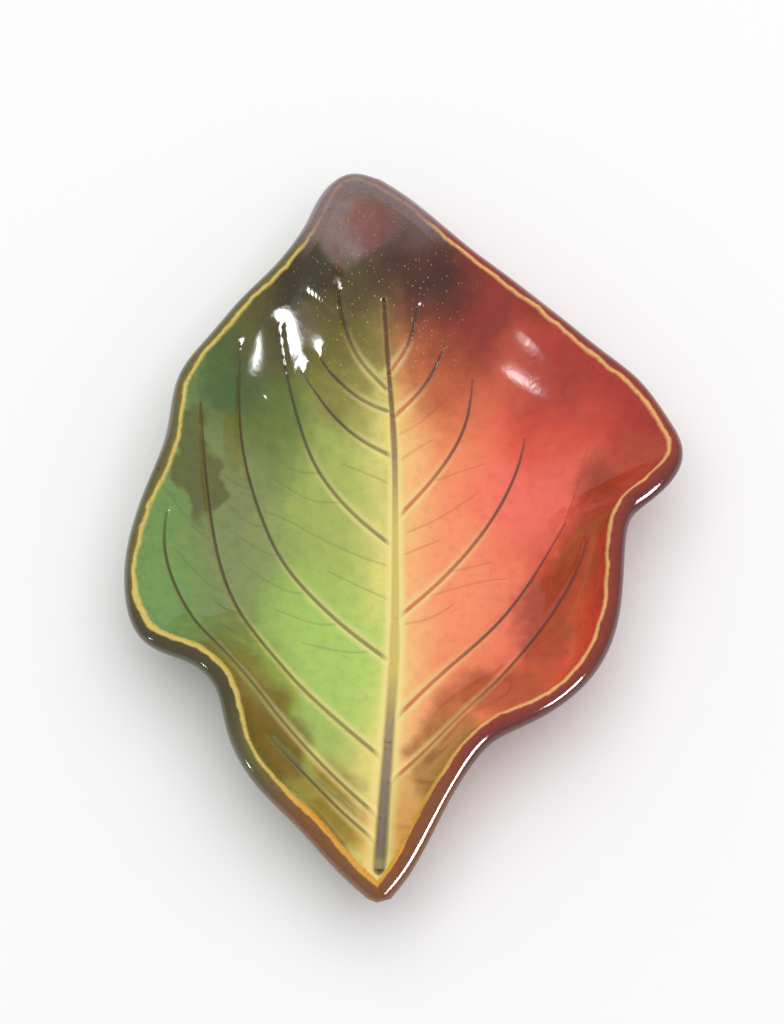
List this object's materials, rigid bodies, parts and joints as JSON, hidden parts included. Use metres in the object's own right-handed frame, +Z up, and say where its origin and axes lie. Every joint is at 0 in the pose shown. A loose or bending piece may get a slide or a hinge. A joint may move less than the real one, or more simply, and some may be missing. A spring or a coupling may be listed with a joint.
{
  "type": "leaf ring dish",
  "caption": "Shallow leaf-shaped ceramic dish with a fluted rim and pressed veins, for rings and small things.",
  "frame": {"origin": "middle of the dish's footprint, on the surface it stands on", "axes": "+Y along the leaf from the stalk to the tip, +X to the right seen from above with the tip away, +Z up"},
  "size_m": [0.0945, 0.1288, 0.0186],
  "materials": {
    "clay": "unglazed buff stoneware",
    "green_glaze": "high gloss",
    "red_glaze": "high gloss",
    "mauve_glaze": "high gloss",
    "amber_glaze": "high gloss",
    "olive_back_glaze": "high gloss",
    "russet_back_glaze": "high gloss",
    "dark_stain": "oxide stain under gloss",
    "straw_stain": "oxide stain under gloss",
    "green_vein_stain": "oxide stain under gloss",
    "red_vein_stain": "oxide stain under gloss"
  },
  "bodies": {
    "root": {"clay_body": "clay", "left_face_glaze": "green_glaze", "right_face_glaze": "red_glaze", "tip_glaze": "mauve_glaze", "lip_glaze": "amber_glaze", "left_back_glaze": "olive_back_glaze", "right_back_glaze": "russet_back_glaze", "stalk_stain": "dark_stain", "midrib_stain": "straw_stain", "left_vein_stain": "green_vein_stain", "right_vein_stain": "red_vein_stain"}
  },
  "joints": []
}
